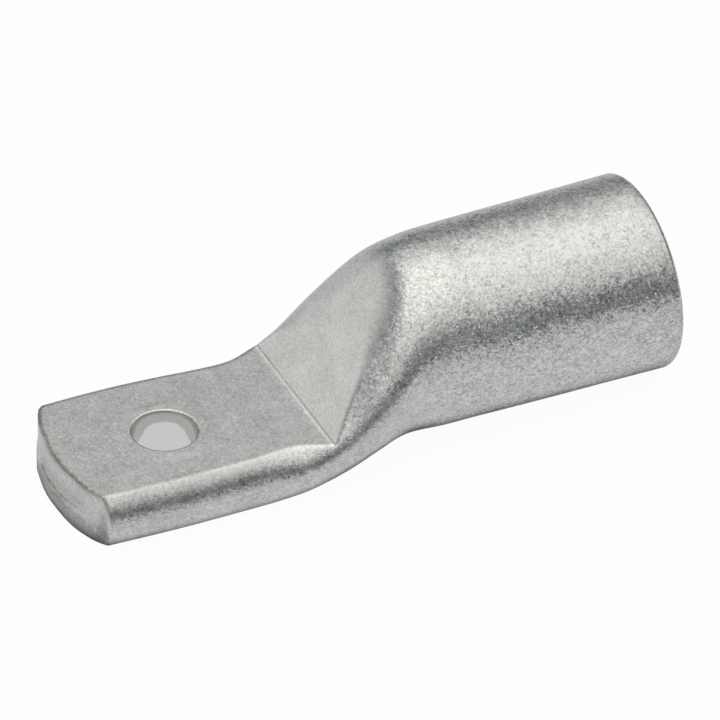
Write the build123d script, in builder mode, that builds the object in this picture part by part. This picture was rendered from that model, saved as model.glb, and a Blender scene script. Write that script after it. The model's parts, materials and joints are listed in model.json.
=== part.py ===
from build123d import *
from math import cos, radians, sin, sqrt, tan
import os

# Tubular cable lug, pressed from one length of tin-plated copper tube.
# Millimetres. +Z is up, +X runs from the palm to the open mouth of the barrel.
# The origin is the centre of the bolt hole, on the seating face of the palm.

# Tube
tube_od = 26.0
tube_id = 21.0
bore_depth = 30.0
mouth_rounding = 0.9
bore_chamfer = 0.5

# Palm
palm_thickness = 7.8
tip_x = -15.4
tip_radius = 20.8
tip_corner_x = -12.35
hole_diameter = 8.4

# Ramp that the press leaves between the palm and the barrel
crease_x = 18.3
ramp_angle = 53.3
groove_width = 0.6
groove_depth = 0.15

# The flat anvil under the palm ends where the round of the barrel clears it
anvil_end_x = 32.0

# Seam of the flattened tube, seen on the tip face
seam_height = 3.6
seam_gap = 0.3
seam_depth = 0.7
seam_length = 17.0

# Sections of the pressed tube stand at an even pitch. The first is beyond the tip and the
# last beyond the neck, because a loft is least true next to its ends, which are cut off.
sections_start_x = -16.9
section_pitch = 5.25

# Fullness of a section: the share of its half width over which its top stays flat.
# This value makes an ellipse, and larger ones a squarer form.
ellipse_fullness = 0.5523

# Half width, top, bottom and height of the widest line, then the fullness above and below
# it, from the tip on. At the palm the tube is taller than the palm is thick, because the
# press then flattens it.
pressed_sections = [
    (13.00, 8.35, -0.15, 4.60, 0.91, 0.85),
    (13.10, 8.25, -0.20, 5.20, 0.93, 0.86),
    (13.15, 8.25, -0.45, 5.30, 0.95, 0.88),
    (13.10, 8.30, -0.60, 5.00, 0.94, 0.88),
    (12.85, 8.60, -0.60, 4.40, 0.88, 0.88),
    (12.60, 9.20, -0.50, 3.70, 0.77, 0.85),
    (12.60, 10.20, -0.65, 4.10, 0.65, 0.80),
    (12.75, 12.90, -0.40, 6.20, 0.56, 0.70),
    (12.55, 19.00, 0.25, 9.40, 0.54, 0.55),
    (11.55, 24.60, 0.15, 12.80, 0.52, 0.58),
    (12.00, 25.60, 0.20, 13.00, 0.54, 0.58),
    (12.60, 25.60, 0.40, 13.00, ellipse_fullness, ellipse_fullness),
    (12.67, 25.67, 0.33, 13.00, ellipse_fullness, ellipse_fullness),
]
# From the neck to the mouth the barrel is a slight cone, up to the tube's own diameter
neck_radius = 12.65
mouth_x = 67.1

# The cavity narrows behind the bore, from a slight shoulder, and ends under the ramp
cavity_start_radius = 10.2
cavity_end_radius = 8.2
cavity_length = 18.0

# Worked out from the sizes above
neck_x = sections_start_x + (len(pressed_sections) - 2) * section_pitch
bore_end_x = mouth_x - bore_depth
wall_thickness = (tube_od - tube_id) / 2
tube_radius = tube_od / 2
bore_radius = tube_id / 2
tip_centre_x = tip_x + tip_radius
groove_bottom_x = crease_x - groove_depth / tan(radians(ramp_angle))
tool_size = 100.0


def tube_section(x, half_width, top, bottom, middle, top_fullness, bottom_fullness):
    """One section of the tube, standing across it at x: four quarter curves."""
    with BuildSketch(Plane.YZ.offset(x)) as face:
        with BuildLine():
            for across, end_z, fullness in [
                (1, top, top_fullness),
                (-1, top, top_fullness),
                (-1, bottom, bottom_fullness),
                (1, bottom, bottom_fullness),
            ]:
                side_fullness = ellipse_fullness + 0.2 * (fullness - ellipse_fullness)
                side_y = across * half_width
                Bezier(
                    (side_y, middle),
                    (side_y, middle + (end_z - middle) * side_fullness),
                    (side_y * fullness, end_z),
                    (0, end_z),
                )
        make_face()
    return face.sketch


# Barrel, turned about its own axis. The rounding of the rim is made of two flats.
with BuildPart() as barrel:
    rim_flat_end = mouth_rounding * (1 - sqrt(0.5))
    with BuildSketch(Plane.XZ):
        with BuildLine():
            Polyline(
                (neck_x, tube_radius),
                (neck_x, tube_radius + neck_radius),
                (mouth_x - mouth_rounding, tube_od),
                (mouth_x - rim_flat_end, tube_od - rim_flat_end),
                (mouth_x, tube_od - mouth_rounding),
                (mouth_x, tube_radius),
                close=True,
            )
        make_face()
    revolve(axis=Axis((0, 0, tube_radius), (1, 0, 0)))

# Upper die of the press: the lug keeps what is below the palm's face and the ramp. The
# lip of the die leaves a shallow groove where they meet.
with BuildPart() as upper_die:
    with BuildSketch(Plane.XZ):
        with BuildLine():
            Polyline(
                (-tool_size, palm_thickness),
                (crease_x - groove_width, palm_thickness),
                (groove_bottom_x, palm_thickness - groove_depth),
                (
                    crease_x + tool_size * cos(radians(ramp_angle)),
                    palm_thickness + tool_size * sin(radians(ramp_angle)),
                ),
                (-tool_size, palm_thickness + tool_size),
                close=True,
            )
        make_face()
    extrude(amount=tool_size, both=True)

# Anvil: the lug keeps what is above its seating face
with BuildPart() as anvil:
    with Locations((anvil_end_x, 0, 0)):
        Box(tool_size, tool_size, tool_size, align=(Align.MAX, Align.CENTER, Align.MAX))

# Shear that cuts the tip to an arc between two short straight corners
with BuildPart() as tip_shear:
    with BuildSketch(Plane.XY):
        Rectangle(tool_size, tool_size)
        with Locations((tip_centre_x, 0)):
            Circle(tip_radius, mode=Mode.SUBTRACT)
        with Locations((tip_corner_x, 0)):
            Rectangle(tool_size, tool_size, align=(Align.MIN, Align.CENTER), mode=Mode.SUBTRACT)
    extrude(amount=tool_size, both=True)

# Seam where the walls of the flattened tube meet, as far in as it can be seen
with BuildPart() as seam:
    with BuildSketch(Plane.XY.offset(seam_height)):
        with Locations((tip_centre_x, 0)):
            Circle(tip_radius + seam_depth)
            Circle(tip_radius - seam_depth, mode=Mode.SUBTRACT)
        Rectangle(tool_size, seam_length, align=(Align.MAX, Align.CENTER), mode=Mode.INTERSECT)
    extrude(amount=seam_gap)

# Cavity behind the bore: a cone about the barrel's axis, as far as the wall of the ramp
with BuildPart() as cavity:
    with BuildSketch(Plane.YZ.offset(bore_end_x)):
        with Locations((0, tube_radius)):
            Circle(cavity_start_radius)
    with BuildSketch(Plane.YZ.offset(bore_end_x - cavity_length)):
        with Locations((0, tube_radius)):
            Circle(cavity_end_radius)
    loft()
    ramp_wall = wall_thickness / cos(radians(ramp_angle))
    add(upper_die.part.moved(Location((0, 0, -ramp_wall))), mode=Mode.SUBTRACT)

# The lug, one piece: the pressed tube, flattened between the dies and sheared at the tip
with BuildPart() as cable_lug:
    stations = range(len(pressed_sections))
    loft(
        [tube_section(sections_start_x + i * section_pitch, *pressed_sections[i]) for i in stations]
    )
    split(bisect_by=Plane.YZ.offset(neck_x), keep=Keep.BOTTOM)
    add(barrel.part)

    # Bore for the stranded conductor, with a chamfer that leads the strands in
    with BuildSketch(Plane.YZ.offset(bore_end_x)):
        with Locations((0, tube_radius)):
            Circle(bore_radius)
    extrude(amount=bore_depth, mode=Mode.SUBTRACT)

    bore_mouth = cable_lug.edges().group_by(Axis.X)[-1].sort_by(SortBy.LENGTH)[0]
    chamfer(bore_mouth, bore_chamfer)

    add(anvil.part, mode=Mode.SUBTRACT)
    add(upper_die.part, mode=Mode.SUBTRACT)
    add(tip_shear.part, mode=Mode.SUBTRACT)

    add(cavity.part, mode=Mode.SUBTRACT)

    # Bolt hole, pierced through both walls
    with Locations((0, 0, palm_thickness)):
        Hole(hole_diameter / 2)

    add(seam.part, mode=Mode.SUBTRACT)

cable_lug.part.label = "cable_lug"
os.makedirs("parts", exist_ok=True)
export_step(cable_lug.part, "parts/cable_lug.step")
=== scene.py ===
import json
import math

import bmesh
import bpy
import numpy as np
from mathutils import Matrix, Vector


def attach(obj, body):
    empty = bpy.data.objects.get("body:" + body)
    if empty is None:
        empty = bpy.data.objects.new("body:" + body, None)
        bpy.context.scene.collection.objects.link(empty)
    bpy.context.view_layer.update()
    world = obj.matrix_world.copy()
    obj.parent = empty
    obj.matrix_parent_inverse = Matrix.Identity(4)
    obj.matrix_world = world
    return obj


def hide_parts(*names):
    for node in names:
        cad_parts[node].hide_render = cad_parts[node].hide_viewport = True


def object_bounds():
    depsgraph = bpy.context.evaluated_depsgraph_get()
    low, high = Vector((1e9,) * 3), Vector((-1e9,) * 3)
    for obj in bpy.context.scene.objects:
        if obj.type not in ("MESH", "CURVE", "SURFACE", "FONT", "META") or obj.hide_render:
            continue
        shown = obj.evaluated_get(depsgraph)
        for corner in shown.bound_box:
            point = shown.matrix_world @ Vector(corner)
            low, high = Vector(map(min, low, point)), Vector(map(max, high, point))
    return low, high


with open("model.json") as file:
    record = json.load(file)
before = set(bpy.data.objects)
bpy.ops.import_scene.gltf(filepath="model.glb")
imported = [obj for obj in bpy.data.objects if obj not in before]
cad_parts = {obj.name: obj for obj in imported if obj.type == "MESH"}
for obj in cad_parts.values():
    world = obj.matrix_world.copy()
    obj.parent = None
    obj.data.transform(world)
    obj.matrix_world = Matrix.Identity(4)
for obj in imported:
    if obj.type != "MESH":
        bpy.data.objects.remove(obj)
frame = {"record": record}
cad_low, cad_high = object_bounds()

# The lug is worked out in millimetres, in the frame's own axes, and made in metres
MM = 0.001
mounts = {mount["name"]: mount for mount in frame["record"]["mounts"]}
TIP_X = cad_low.x / MM
MOUTH_X = cad_high.x / MM
HOLE_RADIUS = mounts["bolt_hole"]["dims"]["r_mm"]
PALM_THICKNESS = mounts["bolt_hole"]["dims"]["length_mm"]
BORE_RADIUS = mounts["barrel_bore"]["dims"]["r_mm"]
AXIS_Z = mounts["barrel_bore"]["pos_m"][2] / MM
TUBE_RADIUS = cad_high.z / MM - AXIS_Z

# Outline of the palm and the ramp
TIP_RADIUS = 20.8
TIP_CENTRE_Y = 0.6
TIP_CORNER_X = -12.8
TIP_CORNER_SOFTNESS = 0.5
TIP_EDGE = 0.42
CREASE_X = 18.3
RAMP_SLOPE = math.tan(math.radians(53.3))

# The press raised a lip before the crease and left a groove in it, at these distances from it
LIP_START = -0.75
LIP_PEAK = -0.3
LIP_HEIGHT = 0.09
GROOVE_BOTTOM = -0.08
GROOVE_DEPTH = 0.07

# Across the seam, the upper half of the tip face stands back and the lower one stands out
SEAM_REACH = 5.2
SEAM_Z = 3.6
UPPER_HALF_BACK = 0.45
LOWER_HALF_OUT = 0.14

# Mouth and bore: the saw cut leans back by the tilt, for each millimetre of height
RIM_ROUNDING = 0.8
RIM_FLAT = 0.4
MOUTH_TILT = 0.042
MOUTH_REACH = 0.35
BORE_CHAMFER = 0.5
BORE_END_X = 37.1

# Sections of the pressed tube at an even pitch: half width, top, bottom, height of the
# widest line, and fullness above and below it, which is larger for a squarer form
ELLIPSE = 0.5523
SECTION_START_X = -16.9
SECTION_PITCH = 5.25
PRESSED_SECTIONS = np.array([
    (13.00, 8.35, -0.15, 4.60, 0.91, 0.85),
    (13.10, 8.25, -0.20, 5.20, 0.93, 0.86),
    (13.15, 8.25, -0.45, 5.30, 0.95, 0.88),
    (13.10, 8.30, -0.60, 5.00, 0.94, 0.88),
    (12.85, 8.60, -0.60, 4.40, 0.88, 0.88),
    (12.60, 9.20, -0.50, 3.70, 0.77, 0.85),
    (12.60, 10.20, -0.65, 4.10, 0.65, 0.80),
    (12.75, 12.90, -0.40, 6.20, 0.56, 0.70),
    (12.85, 18.45, 0.22, 9.40, 0.54, 0.56),
    (12.00, 24.05, 0.45, 12.60, 0.52, 0.56),
    (12.30, 25.55, 0.35, 12.90, 0.54, 0.57),
    (12.62, 25.62, 0.38, 13.00, ELLIPSE, ELLIPSE),
    (12.70, 25.70, 0.30, 13.00, ELLIPSE, ELLIPSE),
])
# What the press adds to those sizes on the barrel: a higher top and a lower widest line
BARREL_SAG = np.array([0, 0.08, 0, -0.5, 0, 0])

# Half widths of the palm at the same pitch, toward -Y and +Y: the press spreads it unevenly
PALM_WIDTHS = np.array([
    (11.75, 13.35),
    (11.97, 13.45),
    (12.25, 13.50),
    (12.42, 13.35),
    (12.45, 12.95),
    (12.45, 12.45),
    (12.40, 12.40),
    (12.40, 12.40),
])
# Round sides of the palm. The press cuts the upper curve off after a turn, and a share of
# each quarter's points goes to the curve
SIDE_RADIUS = 3.9
SIDE_HEIGHT = 5.2
UNDER_RADIUS = 4.3
SIDE_TURN = math.radians(67)
SIDE_Z = PALM_THICKNESS - SIDE_HEIGHT * math.sin(SIDE_TURN)
SIDE_SHARE = 0.6

# From the neck to the mouth the barrel is a slight cone
NECK_X = 40.85
NECK_RADIUS = 12.65

# Cavity behind the bore
CAVITY_START_RADIUS = 10.2
CAVITY_END_RADIUS = 8.2
CAVITY_LENGTH = 18.0
WALL = 2.5

# Rounding of the ramp's edges: at its foot, then what is added higher up and on the far side
RAMP_SOFTNESS = 0.15
HIGH_SOFTNESS = 1.7
FAR_SOFTNESS = 2.6
UNDERSIDE_SOFTNESS = 0.35

# Mesh: points around a section, distances between rows, where the rows stop following the
# tip, and half of the square that is left open for the hole
QUARTER = 52
AROUND = 4 * QUARTER
ROW_STEP = 0.45
GROOVE_STEP = 0.08
BLEND_X = -7.0
PATCH_HALF = 6.4
HOLE_EDGE = 0.25
RIM_STEPS = 8
BORE_STEPS = 24
CAVITY_STEPS = 36
SHARP_ANGLE = math.radians(32)

# Tin plating: how far its crystals lean the reflection, and how far they, the larger
# patches, the lip's painted highlight, the painted shade at the mouth and the darker edge on the
# palm's near side shade it
MIDDLE = (0.5, 0.5, 0.5)
CRYSTAL_LEAN = 0.145
FINE_LEAN = 0.10
CRYSTAL_SHADE = 0.31
FINE_SHADE = 0.23
PATCH_SHADE = 0.26
RAMP_PATCH_SHADE = 0.10
LIP_SHADE = 0.28
MOUTH_AND_SIDE_DARKENING = 0.07
TIN_SHADE = 0.75
BRIGHTEST_TIN = 0.97
TIN_TINT = (0.985, 1.0, 1.003)
TIN_ROUGHNESS = 0.30
HOLE_COLOR = (0.66, 0.66, 0.65, 1)
# Colour mixed in, in blotches, along the tip's seam and along its top edge and near corner
TIP_DARK_COLOR = (0.36, 0.35, 0.31, 1)

# Floor: its own colour, what it shows of white to the camera, and how bright it is in
# reflections beside the lug, under it (a painted contact shadow) and under its hole (painted
# light)
FLOOR_RADIUS = 3.0
FLOOR_COLOR = (0.88, 0.885, 0.89, 1)
FLOOR_WHITE_SHARE = 0.965
GLOW_BESIDE = 0.62
GLOW_UNDER = 0.06
GLOW_IN_HOLE = 0.86

# Distances on the floor in metres, from the line under the lug and from the hole's middle,
# over which the reflected floor turns bright beside the lug and dark round the hole: the edges of
# the painted contact shadow and of the painted light under the hole
BESIDE_START = 0.0092
BESIDE_END = 0.0145
HOLE_LIGHT_START = 0.0045
HOLE_LIGHT_END = 0.006

# Studio light: elevation above the horizon in degrees, then strength
FRONT_LIGHT = [
    (0, 0.08), (9, 0.08), (18, 0.14), (27, 0.44), (36, 0.70),
    (47, 0.82), (60, 0.96), (72, 1.15), (90, 1.10),
]
BESIDE_LIGHT = [
    (0, 0.30), (9, 0.20), (18, 0.20), (27, 0.34), (36, 0.56),
    (47, 0.66), (60, 0.90), (72, 1.10), (90, 1.10),
]
BEHIND_LIGHT = [
    (0, 0.72), (9, 0.86), (16, 0.73), (23, 0.28), (31, 0.20),
    (39, 0.48), (50, 0.62), (64, 0.80), (90, 1.10),
]
# Which way the light from behind comes, and how near to it, or to +Y for the light beside,
# a direction lies where each starts and is whole
BEHIND_DIRECTION = (-0.966, 0.259, 0)
BEHIND_RANGE = (0.36, 0.74)
BESIDE_RANGE = (0.2, 0.7)
# Light up to this strength turns from greenish to warm, and loses blue beyond it
FULL_LIGHT = 0.6

# Camera, fitted to the photograph's outlines
CAMERA_PLACE = (-0.28593, -0.64665, 0.53444)
CAMERA_FORWARD = (0.35212, 0.72722, -0.58921)
CAMERA_ROLL = math.radians(0.84)
CAMERA_LENS = 350
CAMERA_SENSOR = 36


def interpolate(x, table):
    """Smooth curves at x through the rows of a table, which stand at the sections' pitch."""
    place = np.clip((x - SECTION_START_X) / SECTION_PITCH, 0, len(table) - 1.000001)
    i = place.astype(int)
    t = (place - i)[..., None]
    slopes = np.gradient(table, axis=0)
    a, b = table[i], table[i + 1]
    da, db = slopes[i], slopes[i + 1]
    return (
        (2 * t**3 - 3 * t**2 + 1) * a
        + (t**3 - 2 * t**2 + t) * da
        + (-2 * t**3 + 3 * t**2) * b
        + (t**3 - t**2) * db
    )


def outer_sizes(x):
    """Half width, top, bottom, middle and two fullnesses of the tube's outside at x."""
    sizes = interpolate(x, PRESSED_SECTIONS)
    share = np.clip((x - NECK_X) / (MOUTH_X - NECK_X), 0, 1)
    radius = NECK_RADIUS + share * (TUBE_RADIUS - NECK_RADIUS)
    columns = [radius, AXIS_Z + radius, AXIS_Z - radius]
    columns += [np.full_like(radius, value) for value in (AXIS_Z, ELLIPSE, ELLIPSE)]
    cone = np.stack(columns, axis=-1)
    on_cone = np.clip((x - NECK_X + 2) / 4, 0, 1)[..., None]
    sizes = sizes + on_cone * (cone - sizes)
    sag = smooth_step(26, 33, x) * (1 - 0.6 * smooth_step(50, 60, x))
    return sizes + sag[..., None] * BARREL_SAG


def quarter_curves():
    """Which way each point around a section leans, and its place on its quarter curve."""
    j = np.arange(AROUND)
    quarter = j // QUARTER
    t = (j % QUARTER) / QUARTER
    t = np.where(quarter % 2 == 0, t, 1 - t)
    across = np.where((quarter == 0) | (quarter == 3), 1, -1)
    up = np.where(quarter < 2, 1, -1)
    return t, across, up


T, ACROSS, UP = quarter_curves()


def contour(sizes):
    """Y and Z of the points around sections of the given sizes, one row of sizes a point."""
    half_width, top, bottom, middle, top_fullness, bottom_fullness = np.moveaxis(sizes, -1, 0)
    fullness = np.where(UP > 0, top_fullness, bottom_fullness)
    end_z = np.where(UP > 0, top, bottom)
    side_fullness = ELLIPSE + 0.2 * (fullness - ELLIPSE)
    b0, b1, b2, b3 = (1 - T) ** 3, 3 * T * (1 - T) ** 2, 3 * T**2 * (1 - T), T**3
    out = b0 + b1 + b2 * fullness
    rise = b1 * side_fullness + b2 + b3
    return ACROSS * half_width * out, middle + (end_z - middle) * rise


def palm_contour(x):
    """Y and Z around the palm: the flattened tube's sides stay round, the press cuts its top."""
    widths = interpolate(x, PALM_WIDTHS)
    half_width = np.where(ACROSS > 0, widths[..., 1], widths[..., 0])
    last_turn = np.where(UP > 0, SIDE_TURN, math.pi / 2)
    turn = np.minimum(T / SIDE_SHARE, 1) * last_turn
    inward = np.maximum((T - SIDE_SHARE) / (1 - SIDE_SHARE), 0)
    radius = np.where(UP > 0, SIDE_RADIUS, UNDER_RADIUS)
    y = (half_width - radius * (1 - np.cos(turn))) * (1 - inward)
    rise = np.where(UP > 0, SIDE_HEIGHT, -SIDE_Z) * np.sin(turn)
    return ACROSS * y, SIDE_Z + rise


def outside(x):
    """Y and Z around the outside: the palm's form, which turns into the tube's."""
    tube_y, tube_z = contour(outer_sizes(x))
    palm_y, palm_z = palm_contour(x)
    share = smooth_step(8.5, 17.5, x)
    return palm_y + share * (tube_y - palm_y), palm_z + share * (tube_z - palm_z)


def soft_min(a, b, width):
    """The lower of a and b, with the corner between them rounded over a width."""
    h = np.clip(0.5 + 0.5 * (b - a) / width, 0, 1)
    return b + h * (a - b) - width * h * (1 - h)


def smooth_step(low, high, x):
    """0 below low, 1 above high, and a smooth rise between."""
    t = np.clip((x - low) / (high - low), 0, 1)
    return t * t * (3 - 2 * t)


def die_height(x):
    """Height of the press above the seating face: the palm, its lip and groove, then the ramp."""
    from_crease = x - CREASE_X
    places = [LIP_START, LIP_PEAK, GROOVE_BOTTOM, 0]
    lip = np.interp(from_crease, places, [0, LIP_HEIGHT, -GROOVE_DEPTH, 0])
    return PALM_THICKNESS + np.where(from_crease < 0, lip, from_crease * RAMP_SLOPE)


def tip_arc(y):
    """X of the sheared tip at y: an arc, with a short straight corner on the -Y side."""
    arc = TIP_X + TIP_RADIUS - np.sqrt(TIP_RADIUS**2 - (y - TIP_CENTRE_Y) ** 2)
    return np.where(y < 0, soft_min(arc, TIP_CORNER_X, TIP_CORNER_SOFTNESS), arc)


def tip_face(y, z):
    """X of the end face: its upper part stands back in the middle, the lower one out at +Y."""
    high = smooth_step(3.0, 4.2, z)
    back = UPPER_HALF_BACK * smooth_step(-9, -3, y) * (1 - 0.85 * smooth_step(5, 10, y))
    return tip_arc(y) + high * back - LOWER_HALF_OUT * (1 - high) * smooth_step(5, 9, y)


def tip_edge(y):
    """Size of the edge around the end face: worn at the top, rounder under the middle."""
    under = 0.75 + 0.15 * smooth_step(-10, -7, y)
    under = under + 1.5 * smooth_step(-6, 0, y) * (1 - smooth_step(7, 10, y))
    return np.where(UP > 0, TIP_EDGE, TIP_EDGE * under)


def outer_rows():
    """X, Y, Z of the outside, row by row from the tip to the start of the mouth's rim."""
    groove_start = CREASE_X + LIP_START
    groove_end = CREASE_X + 0.1
    spans = [
        (TIP_X, BLEND_X, ROW_STEP),
        (BLEND_X, -BLEND_X, ROW_STEP),
        (-BLEND_X, groove_start, ROW_STEP),
        (groove_start, groove_end, GROOVE_STEP),
        (groove_end, NECK_X, ROW_STEP),
        (NECK_X, MOUTH_X - RIM_ROUNDING, ROW_STEP),
    ]
    row_x = [TIP_X]
    for low, high, step in spans:
        count = round((high - low) / step)
        row_x.extend(low + (high - low) * (k + 1) / count for k in range(count))
    row_x = np.array(row_x)
    x = np.repeat(row_x[:, None], AROUND, axis=1)
    y, z = outside(x)
    reach = (row_x - BLEND_X) / (TIP_X - BLEND_X)
    for _ in range(4):
        bent = BLEND_X + reach[:, None] * (tip_face(y, z) + tip_edge(y) - BLEND_X)
        x = np.where(row_x[:, None] < BLEND_X, bent, x)
        y, z = outside(x)
    far_side = smooth_step(1, 8, y) * smooth_step(19, 24, x)
    softness = RAMP_SOFTNESS + HIGH_SOFTNESS * smooth_step(21, 31, x) + FAR_SOFTNESS * far_side
    z = soft_min(z, die_height(x), softness)
    z = -soft_min(-z, 0.0, UNDERSIDE_SOFTNESS)
    return row_x, x - mouth_shift(x, z), y, z


def mouth_shift(x, z):
    """How far the saw cut of the mouth leans back at a height, fading away from the mouth."""
    return (MOUTH_TILT * z - MOUTH_REACH) * smooth_step(MOUTH_X - 12, MOUTH_X - 1, x)


def from_seam(y, z):
    """Y of the seam's nearest point to each point, the way out from it, and the distance."""
    near_y = np.clip(y, -SEAM_REACH, SEAM_REACH)
    out_y, out_z = y - near_y, z - SEAM_Z
    distance = np.hypot(out_y, out_z)
    return near_y, out_y / distance, out_z / distance, distance


def build_rows():
    """Every row of the skin, from the seam in the tip to the end of the cavity."""
    row_x, x, y, z = outer_rows()
    rows = []

    # Tip face: seam, face and edge, from inside out
    near_y, out_y, out_z, length = from_seam(y[0], z[0])
    edge = tip_edge(y[0])
    gap = 0.02 + 0.08 * smooth_step(-5, -1, near_y) * (1 - smooth_step(2, 5.5, near_y))
    shoulder = gap + 0.12

    def tip_ring(distance, depth):
        py = near_y + out_y * distance
        pz = SEAM_Z + out_z * distance
        rows.append((tip_face(py, pz) + depth, py, pz))

    for distance, depth in [(gap, 0.15), (gap + 0.04, 0.12), (shoulder, 0.0)]:
        tip_ring(distance, depth)
    for share in (0.06, 0.12, 0.18, 0.25, 0.33, 0.45, 0.6, 0.8):
        tip_ring(shoulder + share * (length - edge - shoulder), 0.0)
    for down, back in [(0.85, 0), (0.77, 0.03), (0.68, 0.12), (0.10, 0.80), (0.03, 0.92)]:
        tip_ring(length - edge * down, edge * back)
    first_outer = len(rows)
    rows.extend(zip(x, y, z))

    # Mouth: rounded rim, flat, chamfer
    unit_y, unit_z = contour(np.tile([1.0, 1.0, -1.0, 0.0, ELLIPSE, ELLIPSE], (AROUND, 1)))

    def ring(at_x, radius):
        rz = AXIS_Z + unit_z * radius
        rows.append((at_x - mouth_shift(at_x, rz), unit_y * radius, rz))

    for step in range(1, RIM_STEPS + 1):
        angle = math.radians(90 * step / RIM_STEPS)
        ring(
            MOUTH_X - RIM_ROUNDING * (1 - math.sin(angle)),
            TUBE_RADIUS - RIM_ROUNDING * (1 - math.cos(angle)),
        )
    ring(MOUTH_X, BORE_RADIUS + BORE_CHAMFER + RIM_FLAT)
    ring(MOUTH_X, BORE_RADIUS + BORE_CHAMFER)
    ring(MOUTH_X - BORE_CHAMFER / 3, BORE_RADIUS + BORE_CHAMFER / 2)
    bore_start = MOUTH_X - BORE_CHAMFER
    for step in range(BORE_STEPS + 1):
        ring(bore_start - (bore_start - BORE_END_X) * step / BORE_STEPS, BORE_RADIUS)

    # Cavity, narrowing behind the bore and cut off by the wall of the ramp. Where the cut is
    # below the axis, the points that it moves leave a flat flap on each side, in the metal.
    ramp_wall = WALL * math.hypot(1, RAMP_SLOPE)
    for step in range(CAVITY_STEPS):
        depth = CAVITY_LENGTH * step / CAVITY_STEPS
        narrowing = (CAVITY_END_RADIUS - CAVITY_START_RADIUS) * depth / CAVITY_LENGTH
        radius = CAVITY_START_RADIUS + narrowing
        cavity_x = BORE_END_X - depth
        ceiling = PALM_THICKNESS + (cavity_x - CREASE_X) * RAMP_SLOPE - ramp_wall
        lowest_ceiling = AXIS_Z - radius + 0.3
        cavity_z = np.minimum(AXIS_Z + unit_z * radius, max(ceiling, lowest_ceiling))
        rows.append((np.full(AROUND, cavity_x), unit_y * radius, cavity_z))
    return np.array(rows), first_outer, row_x


def hole_rings(bm, corners, low_side):
    """Rings that lead from a square of the palm's mesh to the edge of the hole."""
    z = 0.0 if low_side else PALM_THICKNESS
    rings = [corners]
    edge_radius = HOLE_RADIUS + HOLE_EDGE
    starts = [vert.co / MM for vert in corners]
    for share in (0.3, 0.58, 0.8, 0.93, 1.0):
        ring = []
        for start in starts:
            angle = math.atan2(start.y, start.x)
            flat = Vector((start.x, start.y, z))
            end = Vector((edge_radius * math.cos(angle), edge_radius * math.sin(angle), z))
            ring.append(bm.verts.new(flat.lerp(end, share) * MM))
        rings.append(ring)
    for outer, inner in zip(rings, rings[1:]):
        for k in range(len(outer)):
            n = (k + 1) % len(outer)
            loop = [outer[k], outer[n], inner[n], inner[k]]
            bm.faces.new(loop if not low_side else loop[::-1])
    return rings[-1]


def hole_wall(bm, top, bottom):
    """The plain wall of the hole, under its rolled edge."""
    count = len(top)
    angles = [math.atan2(vert.co.y, vert.co.x) for vert in top]
    levels = []
    for step in range(1, 4):
        turn = math.radians(90 * step / 3)
        radius = HOLE_RADIUS + HOLE_EDGE * (1 - math.sin(turn))
        levels.append((radius, PALM_THICKNESS - HOLE_EDGE * (1 - math.cos(turn))))
    wall_top = PALM_THICKNESS - HOLE_EDGE
    for share in (0.25, 0.5, 0.75, 1.0):
        levels.append((HOLE_RADIUS, wall_top - share * (wall_top - HOLE_EDGE)))
    rings = [top]
    for radius, z in levels:
        ring = []
        for angle in angles:
            place = Vector((radius * math.cos(angle), radius * math.sin(angle), z))
            ring.append(bm.verts.new(place * MM))
        rings.append(ring)
    rings.append(bottom)
    for upper, lower in zip(rings, rings[1:]):
        for k in range(count):
            n = (k + 1) % count
            bm.faces.new([upper[k], upper[n], lower[n], lower[k]])


def square_loop(rows_in, first, columns):
    """Row and column numbers around a block of the grid, in order."""
    low, high = rows_in
    left, right = columns
    loop = [(low, j) for j in range(left, right)]
    loop += [(i, right) for i in range(low, high)]
    loop += [(high, j) for j in range(right, left, -1)]
    loop += [(i, left) for i in range(high, low, -1)]
    return [(first + i, j % AROUND) for i, j in loop]


def lug_mesh():
    """The whole lug as one mesh, closed but for a sliver at the lower rim of the hole."""
    rows, first_outer, row_x = build_rows()
    bm = bmesh.new()
    grid = [
        [bm.verts.new((px * MM, py * MM, pz * MM)) for px, py, pz in zip(*row)]
        for row in rows
    ]

    inside = [i for i, x in enumerate(row_x) if abs(x) < PATCH_HALF]
    block = (inside[0], inside[-1])
    reach = np.abs(rows[first_outer + inside[0], 1]) < PATCH_HALF
    top = [j for j in range(AROUND) if reach[j] and j < 2 * QUARTER]
    bottom = [j for j in range(AROUND) if reach[j] and j >= 2 * QUARTER]
    blocks = [(min(top), max(top)), (min(bottom), max(bottom))]

    def in_block(i, j):
        if not first_outer + block[0] <= i < first_outer + block[1]:
            return False
        return any(left <= j < right for left, right in blocks)

    for i in range(len(grid) - 1):
        for j in range(AROUND):
            if in_block(i, j):
                continue
            n = (j + 1) % AROUND
            bm.faces.new([grid[i][j], grid[i][n], grid[i + 1][n], grid[i + 1][j]])
    bm.faces.new(grid[0][::-1])
    bm.faces.new(grid[-1])

    edges = []
    for low_side, columns in enumerate(blocks):
        corners = [grid[i][j] for i, j in square_loop(block, first_outer, columns)]
        edges.append(hole_rings(bm, corners, bool(low_side)))
    top_ring, bottom_ring = edges
    bottom_order = sorted(bottom_ring, key=lambda vert: math.atan2(vert.co.y, vert.co.x))
    top_order = sorted(top_ring, key=lambda vert: math.atan2(vert.co.y, vert.co.x))

    # The lower ring has a few more points than the upper one, and those find no partner. So
    # small faces fold over each other under the palm there, and a sliver stays open.
    for high, low in zip(top_order, bottom_order):
        radius = math.hypot(low.co.x, low.co.y)
        angle = math.atan2(high.co.y, high.co.x)
        low.co = Vector((radius * math.cos(angle), radius * math.sin(angle), 0))
    hole_wall(bm, top_order, bottom_order)

    bmesh.ops.recalc_face_normals(bm, faces=bm.faces)
    for vert in list(bm.verts):
        if not vert.link_faces:
            bm.verts.remove(vert)
    mesh = bpy.data.meshes.new("lug_body")
    bm.to_mesh(mesh)
    bm.free()
    return mesh


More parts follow.
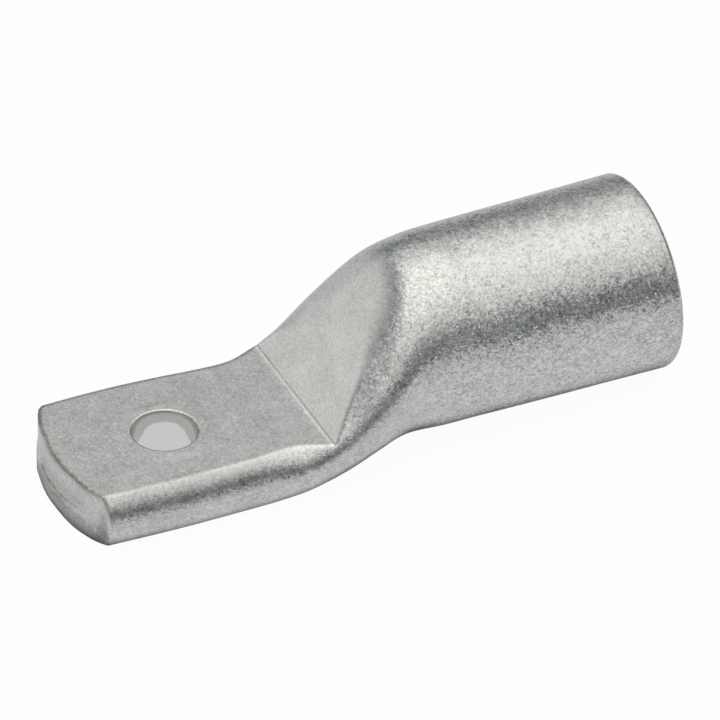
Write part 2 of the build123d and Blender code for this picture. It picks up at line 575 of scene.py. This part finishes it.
def mark_regions(mesh):
    """Stores how strong the grain is at each point, and where the marked regions are."""
    count = len(mesh.vertices)
    places = np.empty(count * 3)
    mesh.vertices.foreach_get("co", places)
    x, y, z = places.reshape(count, 3).T / MM
    under_press = die_height(x) - z
    pressed = (1 - smooth_step(0.05, 0.9, under_press)) * (x < NECK_X)
    on_tip = 1 - smooth_step(0.1, 0.8, x - tip_arc(np.clip(y, -13, 13)))
    grain = 0.55 + 0.45 * smooth_step(26, 40, x)
    grain = grain - (grain - 0.40) * np.maximum(pressed, on_tip)
    ramp = pressed * smooth_step(CREASE_X, CREASE_X + 1, x)
    from_crease = x - CREASE_X
    # Brighter line on the lip before the crease: a painted highlight, on a line the die burnished
    lip = smooth_step(-0.65, -0.45, from_crease) * (1 - smooth_step(-0.3, -0.15, from_crease))
    lip = pressed * lip
    in_hole = (np.hypot(x, y) < HOLE_RADIUS + 0.1) & (z < PALM_THICKNESS - 0.5 * HOLE_EDGE)
    _, _, _, seam_distance = from_seam(y, z)
    # Darker in blotches along the seam in the tip face, and along the tip's top edge and near
    # corner
    tip_darkening = 0.9 * (1 - smooth_step(0.3, 1.7, seam_distance)) * on_tip
    tip_darkening = tip_darkening * smooth_step(-6.5, -2.0, y) * (1 - smooth_step(4.0, 8.0, y))
    from_face = x - tip_face(y, z)
    on_edge = 1 - smooth_step(0.2, 0.65, np.hypot(from_face - 0.2, z - PALM_THICKNESS + 0.1))
    on_corner = (1 - smooth_step(0.1, 0.35, np.abs(from_face - 0.3))) * smooth_step(4, 6.5, z)
    on_corner = on_corner * (1 - smooth_step(-9.6, -9.0, y))
    tip_darkening = np.maximum(tip_darkening, 0.8 * np.maximum(on_edge, on_corner))
    # Painted shade: the tube is made darker toward the mouth's rim. The upper edge of the palm's
    # near side is also made darker, toward the tip.
    at_mouth = smooth_step(MOUTH_X - 5, MOUTH_X - 0.5, x)
    on_side = smooth_step(9.2, 10.2, -y) * smooth_step(5.4, 6.4, z) * (1 - smooth_step(3, 13, x))
    layers = {
        "grain": grain,
        "in_hole": in_hole,
        "tip_darkening": tip_darkening,
        "ramp": ramp,
        "lip": lip,
        "mouth_shade_and_side_darkening": np.maximum(at_mouth, 1.6 * on_side),
    }
    for name, values in layers.items():
        layer = mesh.attributes.new(name, "FLOAT", "POINT")
        layer.data.foreach_set("value", values.astype(np.float32))


def make_lug():
    mesh = lug_mesh()
    for polygon in mesh.polygons:
        polygon.use_smooth = True
    mesh.set_sharp_from_angle(angle=SHARP_ANGLE)
    mark_regions(mesh)
    lug = bpy.data.objects.new("lug_body", mesh)
    bpy.context.collection.objects.link(lug)
    return lug


class Nodes:
    """Short ways to add nodes to one node tree and join them."""

    def __init__(self, tree):
        self.tree = tree

    def add(self, kind, **settings):
        node = self.tree.nodes.new(kind)
        for name, value in settings.items():
            setattr(node, name, value)
        return node

    def join(self, source, target):
        if hasattr(source, "links"):
            self.tree.links.new(source, target)
        else:
            target.default_value = source

    def math(self, operation, a, b=0.0):
        node = self.add("ShaderNodeMath", operation=operation)
        self.join(a, node.inputs[0])
        self.join(b, node.inputs[1])
        return node.outputs[0]

    def vector(self, operation, a, b=(0.0, 0.0, 0.0)):
        node = self.add("ShaderNodeVectorMath", operation=operation)
        self.join(a, node.inputs[0])
        self.join(b, node.inputs[1])
        return node.outputs[0]

    def scale(self, a, factor):
        node = self.add("ShaderNodeVectorMath", operation="SCALE")
        self.join(a, node.inputs[0])
        self.join(factor, node.inputs["Scale"])
        return node.outputs[0]

    def layer(self, name):
        return self.add("ShaderNodeAttribute", attribute_name=name).outputs["Fac"]

    def noise(self, place, scale, detail=2.0):
        node = self.add("ShaderNodeTexNoise")
        node.inputs["Scale"].default_value = scale
        node.inputs["Detail"].default_value = detail
        self.join(place, node.inputs["Vector"])
        return node

    def mix_color(self, factor, a, b):
        # Inputs 6 and 7 and output 2 are the colour sockets of this node
        node = self.add("ShaderNodeMix", data_type="RGBA")
        self.join(factor, node.inputs[0])
        self.join(a, node.inputs[6])
        self.join(b, node.inputs[7])
        return node.outputs[2]

    def map_range(self, value, low, high, to_low=0.0, to_high=1.0):
        node = self.add("ShaderNodeMapRange", interpolation_type="SMOOTHSTEP")
        self.join(value, node.inputs["Value"])
        for name, number in [
            ("From Min", low),
            ("From Max", high),
            ("To Min", to_low),
            ("To Max", to_high),
        ]:
            node.inputs[name].default_value = number
        return node.outputs["Result"]


def flecks(kit, place, scale, stretch, turn):
    """Cells of the plating, drawn out one way: each has a random colour and shade."""
    mapping = kit.add("ShaderNodeMapping")
    mapping.inputs["Rotation"].default_value = [math.radians(angle) for angle in turn]
    mapping.inputs["Scale"].default_value = stretch
    kit.join(place, mapping.inputs["Vector"])
    cells = kit.add("ShaderNodeTexVoronoi")
    cells.inputs["Scale"].default_value = scale
    kit.join(mapping.outputs[0], cells.inputs["Vector"])
    centred = kit.vector("SUBTRACT", cells.outputs["Color"], MIDDLE)
    split = kit.add("ShaderNodeSeparateXYZ")
    kit.join(centred, split.inputs[0])
    return centred, split.outputs[0]


def tin_material():
    """Dull tin plating: fine crystals that each lean their own way, with faint patches."""
    material = bpy.data.materials.new("tin_plating")
    material.use_nodes = True
    kit = Nodes(material.node_tree)
    shader = material.node_tree.nodes["Principled BSDF"]
    shader.inputs["Metallic"].default_value = 1.0

    place = kit.add("ShaderNodeTexCoord").outputs["Object"]
    ripple = kit.noise(place, scale=1500)
    wander = kit.scale(kit.vector("SUBTRACT", ripple.outputs["Color"], MIDDLE), 0.9 * MM)
    bent = kit.vector("ADD", place, wander)
    grain = kit.layer("grain")

    lean_a, shade_a = flecks(kit, bent, scale=4900, stretch=(0.55, 1, 1), turn=(0, 25, 20))
    lean_b, shade_b = flecks(kit, bent, scale=3800, stretch=(1, 0.45, 1), turn=(35, 0, -25))
    fine_lean, fine_shade = flecks(kit, place, scale=7500, stretch=(1, 1, 1), turn=(0, 0, 0))
    lean = kit.vector("ADD", kit.scale(lean_a, CRYSTAL_LEAN), kit.scale(lean_b, CRYSTAL_LEAN))
    lean = kit.vector("ADD", kit.scale(lean, grain), kit.scale(fine_lean, FINE_LEAN))
    plain_hole = kit.math("MULTIPLY", kit.layer("in_hole"), 0.9)
    lean = kit.scale(lean, kit.math("SUBTRACT", 1.0, plain_hole))
    geometry = kit.add("ShaderNodeNewGeometry")
    tilted = kit.vector("ADD", geometry.outputs["Normal"], lean)
    kit.join(kit.vector("NORMALIZE", tilted), shader.inputs["Normal"])

    patches = kit.noise(place, scale=240, detail=4)
    patch = kit.math("SUBTRACT", patches.outputs["Fac"], 0.5)

    shade = kit.math("ADD", shade_a, shade_b)
    shade = kit.math("MULTIPLY", shade, kit.math("MULTIPLY", grain, CRYSTAL_SHADE))
    shade = kit.math("ADD", shade, kit.math("MULTIPLY", fine_shade, FINE_SHADE))
    on_ramp = kit.math("MULTIPLY", kit.layer("ramp"), RAMP_PATCH_SHADE)
    patch_shade = kit.math("ADD", on_ramp, PATCH_SHADE)
    shade = kit.math("ADD", shade, kit.math("MULTIPLY", patch, patch_shade))
    # The lip's brighter line: painted highlight on a burnished line
    shade = kit.math("ADD", shade, kit.math("MULTIPLY", kit.layer("lip"), LIP_SHADE))
    # Painted shade near the mouth, and the darker edge on the palm's near side
    shade = kit.math("SUBTRACT", shade, kit.math("MULTIPLY", kit.layer("mouth_shade_and_side_darkening"), MOUTH_AND_SIDE_DARKENING))
    light = kit.math("MINIMUM", kit.math("ADD", shade, TIN_SHADE), BRIGHTEST_TIN)
    gray = kit.add("ShaderNodeCombineXYZ")
    for channel in gray.inputs:
        kit.join(light, channel)
    plating = kit.vector("MULTIPLY", gray.outputs[0], TIN_TINT)
    color = kit.mix_color(kit.layer("in_hole"), plating, HOLE_COLOR)
    # Darker colour in blotches along the tip's seam, top edge and near corner
    tip_dark_noise = kit.noise(place, scale=1400, detail=3)
    blotches = kit.map_range(tip_dark_noise.outputs["Fac"], 0.36, 0.64, 0.45, 1.0)
    darkened = kit.math("MULTIPLY", kit.layer("tip_darkening"), blotches)
    color = kit.mix_color(darkened, color, TIP_DARK_COLOR)
    kit.join(color, shader.inputs["Base Color"])

    rough = kit.math("ADD", kit.math("MULTIPLY", patch, 0.16), TIN_ROUGHNESS)
    rough = kit.math("ADD", rough, kit.math("MULTIPLY", shade_b, 0.08))
    rough = kit.math("ADD", rough, kit.math("MULTIPLY", kit.layer("in_hole"), -0.20))
    kit.join(rough, shader.inputs["Roughness"])
    return material


def floor_shown_as(kit, ray, surface, strength, share=1.0):
    """Shows a plain glow of a strength to one kind of ray, mixed over a surface."""
    glow = kit.add("ShaderNodeEmission")
    kit.join(strength, glow.inputs["Strength"])
    mix = kit.add("ShaderNodeMixShader")
    is_ray = kit.add("ShaderNodeLightPath").outputs[ray]
    kit.join(kit.math("MULTIPLY", is_ray, share), mix.inputs[0])
    kit.join(surface, mix.inputs[1])
    kit.join(glow.outputs[0], mix.inputs[2])
    return mix.outputs[0]


def beside_lug(kit, place):
    """Metres from a place on the floor to the line under the lug, or past the lug's ends."""
    split = kit.add("ShaderNodeSeparateXYZ")
    kit.join(place, split.inputs[0])
    along, across = split.outputs["X"], split.outputs["Y"]
    bow = kit.math("DIVIDE", kit.math("MULTIPLY", across, across), 2 * TIP_RADIUS * MM)
    before_tip = kit.math("SUBTRACT", kit.math("ADD", bow, TIP_X * MM + 0.0005), along)
    past_mouth = kit.math("SUBTRACT", along, MOUTH_X * MM - 0.001)
    beyond = kit.math("MAXIMUM", before_tip, past_mouth)
    narrower = kit.map_range(along, 0.020, 0.034, 0.0, 0.0035)
    aside = kit.math("ADD", kit.math("ABSOLUTE", across), narrower)
    return kit.math("MAXIMUM", aside, kit.math("ADD", beyond, 0.0098))


def make_floor():
    bpy.ops.mesh.primitive_circle_add(
        vertices=96, radius=FLOOR_RADIUS, fill_type="NGON", location=(0, 0, 0)
    )
    floor = bpy.context.object
    floor.name = "floor"
    material = bpy.data.materials.new("floor_white")
    material.use_nodes = True
    kit = Nodes(material.node_tree)
    material.node_tree.nodes.remove(material.node_tree.nodes["Principled BSDF"])
    diffuse = kit.add("ShaderNodeBsdfDiffuse")
    diffuse.inputs["Color"].default_value = FLOOR_COLOR
    place = kit.add("ShaderNodeTexCoord").outputs["Object"]
    from_hole = kit.add("ShaderNodeVectorMath", operation="LENGTH")
    kit.join(place, from_hole.inputs[0])
    distance = from_hole.outputs["Value"]
    # Painted light under the hole and a painted contact shadow under the lug, both shown only to
    # reflections
    painted_light_under_hole = kit.map_range(distance, HOLE_LIGHT_START, HOLE_LIGHT_END, GLOW_IN_HOLE, 0.0)
    aside = beside_lug(kit, place)
    floor_with_painted_shadow = kit.map_range(aside, BESIDE_START, BESIDE_END, GLOW_UNDER, GLOW_BESIDE)
    glow = kit.math("MAXIMUM", painted_light_under_hole, floor_with_painted_shadow)
    reflected = floor_shown_as(kit, "Is Glossy Ray", diffuse.outputs[0], glow)
    seen = floor_shown_as(kit, "Is Camera Ray", reflected, 1.0, FLOOR_WHITE_SHARE)
    kit.join(seen, material.node_tree.nodes["Material Output"].inputs["Surface"])
    floor.data.materials.append(material)


def sky_ramp(kit, height, stops):
    """Light by height above the horizon: dim parts are greener and bright ones warmer."""
    ramp = kit.add("ShaderNodeValToRGB")
    ramp.color_ramp.interpolation = "EASE"
    elements = ramp.color_ramp.elements
    while len(elements) < len(stops):
        elements.new(0.5)
    for element, (elevation, light) in zip(elements, stops):
        element.position = math.sin(math.radians(elevation))
        lit = min(light / FULL_LIGHT, 1)
        past_full = max(light - FULL_LIGHT, 0)
        red = 0.85 + 0.18 * lit
        blue = 0.965 + 0.02 * lit - 0.10 * past_full
        element.color = (light * red, light, light * blue, 1)
    kit.join(height, ramp.inputs[0])
    return ramp.outputs[0]


def make_world():
    """Studio: bright overhead, dark walls round the horizon, and a low softbox behind."""
    world = bpy.data.worlds.new("studio")
    bpy.context.scene.world = world
    world.use_nodes = True
    kit = Nodes(world.node_tree)
    background = world.node_tree.nodes["Background"]
    direction = kit.add("ShaderNodeTexCoord").outputs["Generated"]
    split = kit.add("ShaderNodeSeparateXYZ")
    kit.join(direction, split.inputs[0])
    height = split.outputs["Z"]
    front = sky_ramp(kit, height, FRONT_LIGHT)
    beside = sky_ramp(kit, height, BESIDE_LIGHT)
    behind = sky_ramp(kit, height, BEHIND_LIGHT)
    away = kit.add("ShaderNodeVectorMath", operation="DOT_PRODUCT")
    kit.join(direction, away.inputs[0])
    away.inputs[1].default_value = BEHIND_DIRECTION
    behind_share = kit.map_range(away.outputs["Value"], *BEHIND_RANGE)
    beside_share = kit.map_range(split.outputs["Y"], *BESIDE_RANGE)
    sides = kit.mix_color(beside_share, front, beside)
    kit.join(kit.mix_color(behind_share, sides, behind), background.inputs["Color"])

    white = kit.add("ShaderNodeBackground")
    white.inputs["Color"].default_value = (1, 1, 1, 1)
    mix = kit.add("ShaderNodeMixShader")
    kit.join(kit.add("ShaderNodeLightPath").outputs["Is Camera Ray"], mix.inputs[0])
    kit.join(background.outputs[0], mix.inputs[1])
    kit.join(white.outputs[0], mix.inputs[2])
    kit.join(mix.outputs[0], world.node_tree.nodes["World Output"].inputs["Surface"])


def make_camera():
    data = bpy.data.cameras.new("camera")
    camera = bpy.data.objects.new("camera", data)
    bpy.context.collection.objects.link(camera)
    data.lens = CAMERA_LENS
    data.sensor_width = CAMERA_SENSOR
    aim = Vector(CAMERA_FORWARD).to_track_quat("-Z", "Y").to_matrix()
    turn = aim @ Matrix.Rotation(CAMERA_ROLL, 3, "Z")
    camera.matrix_world = Matrix.Translation(Vector(CAMERA_PLACE)) @ turn.to_4x4()
    bpy.context.scene.camera = camera


bpy.context.scene.view_settings.view_transform = "Standard"
make_camera()
make_world()
make_floor()
lug = make_lug()
lug.data.materials.append(tin_material())
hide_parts("cable_lug")
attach(lug, "root")
